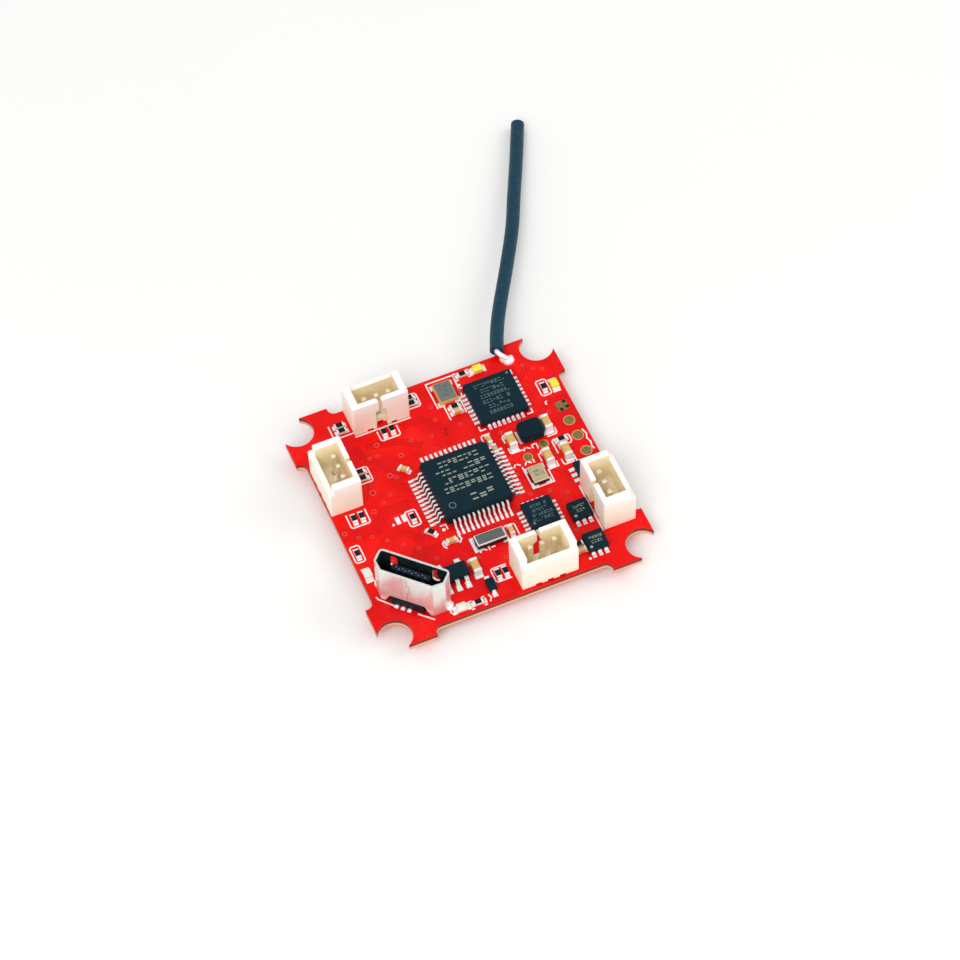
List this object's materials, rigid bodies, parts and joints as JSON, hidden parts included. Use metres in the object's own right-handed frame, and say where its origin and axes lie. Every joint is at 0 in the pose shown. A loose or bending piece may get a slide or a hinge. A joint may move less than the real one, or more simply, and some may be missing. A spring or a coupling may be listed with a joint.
{
  "type": "drone flight controller board",
  "caption": "Small square flight controller board with motor plugs, an upright micro-USB socket, radio receiver and wire aerial.",
  "frame": {"origin": "centre of the board's square outline, on the plane that the tallest parts under the board stand on", "axes": "+Z out of the board's top face, +Y towards the edge with the aerial, +X towards the edge with the round gold pads"},
  "size_m": [0.0379, 0.0556, 0.0069],
  "materials": {
    "red_board": "satin red solder mask on glass-fibre laminate",
    "black_plastic": "matt black moulding compound",
    "black_ferrite": "satin black ferrite",
    "black_resistor": "satin black with tinned ends",
    "tan_ceramic": "satin tan ceramic with tinned ends",
    "yellow_lens": "satin yellow lens",
    "white_lens": "satin milky lens",
    "nickel_lid": "satin nickel plate",
    "cream_nylon": "satin natural nylon",
    "tinned_contact": "bright tin plate",
    "plated_steel": "bright plated steel sheet",
    "black_sheath": "satin black wire insulation",
    "tinned_core": "bright tinned wire",
    "solder": "bright solder"
  },
  "bodies": {
    "root": {"aerial_core": "tinned_core", "aerial_sheath": "black_sheath", "aerial_solder": "solder", "ceramic_capacitor_1": "tan_ceramic", "ceramic_capacitor_2": "tan_ceramic", "ceramic_capacitor_3": "tan_ceramic", "ceramic_capacitor_4": "tan_ceramic", "ceramic_capacitor_5": "tan_ceramic", "circuit_board": "red_board", "connector_back_housing": "cream_nylon", "connector_back_pin_a": "tinned_contact", "connector_back_pin_b": "tinned_contact", "connector_back_pin_c": "tinned_contact", "connector_front_housing": "cream_nylon", "connector_front_pin_a": "tinned_contact", "connector_front_pin_b": "tinned_contact", "connector_front_pin_c": "tinned_contact", "connector_left_housing": "cream_nylon", "connector_left_pin_a": "tinned_contact", "connector_left_pin_b": "tinned_contact", "connector_left_pin_c": "tinned_contact", "connector_right_housing": "cream_nylon", "connector_right_pin_a": "tinned_contact", "connector_right_pin_b": "tinned_contact", "connector_right_pin_c": "tinned_contact", "current_shunt": "black_resistor", "diode": "black_plastic", "esc_controller_back_1": "black_plastic", "esc_controller_back_2": "black_plastic", "esc_controller_back_3": "black_plastic", "esc_controller_front": "black_plastic", "lamp_back": "yellow_lens", "lamp_front": "white_lens", "lamp_left": "white_lens", "lamp_right": "yellow_lens", "main_processor": "black_plastic", "motion_sensor": "black_plastic", "motor_driver_back_1": "black_plastic", "motor_driver_back_2": "black_plastic", "motor_driver_back_3": "black_plastic", "motor_driver_back_4": "black_plastic", "motor_driver_back_5": "black_plastic", "motor_driver_back_6": "black_plastic", "motor_driver_back_7": "black_plastic", "motor_driver_back_8": "black_plastic", "motor_driver_back_9": "black_plastic", "motor_driver_front_1": "black_plastic", "motor_driver_front_2": "black_plastic", "motor_driver_front_3": "black_plastic", "overlay_crystal": "nickel_lid", "power_inductor": "black_ferrite", "processor_crystal": "nickel_lid", "receiver_chip": "black_plastic", "receiver_crystal": "nickel_lid", "supply_capacitor_1": "tan_ceramic", "supply_capacitor_2": "tan_ceramic", "usb_insulator": "black_plastic", "usb_shell": "plated_steel", "video_overlay_chip": "black_plastic", "voltage_regulator": "black_plastic"}
  },
  "joints": []
}
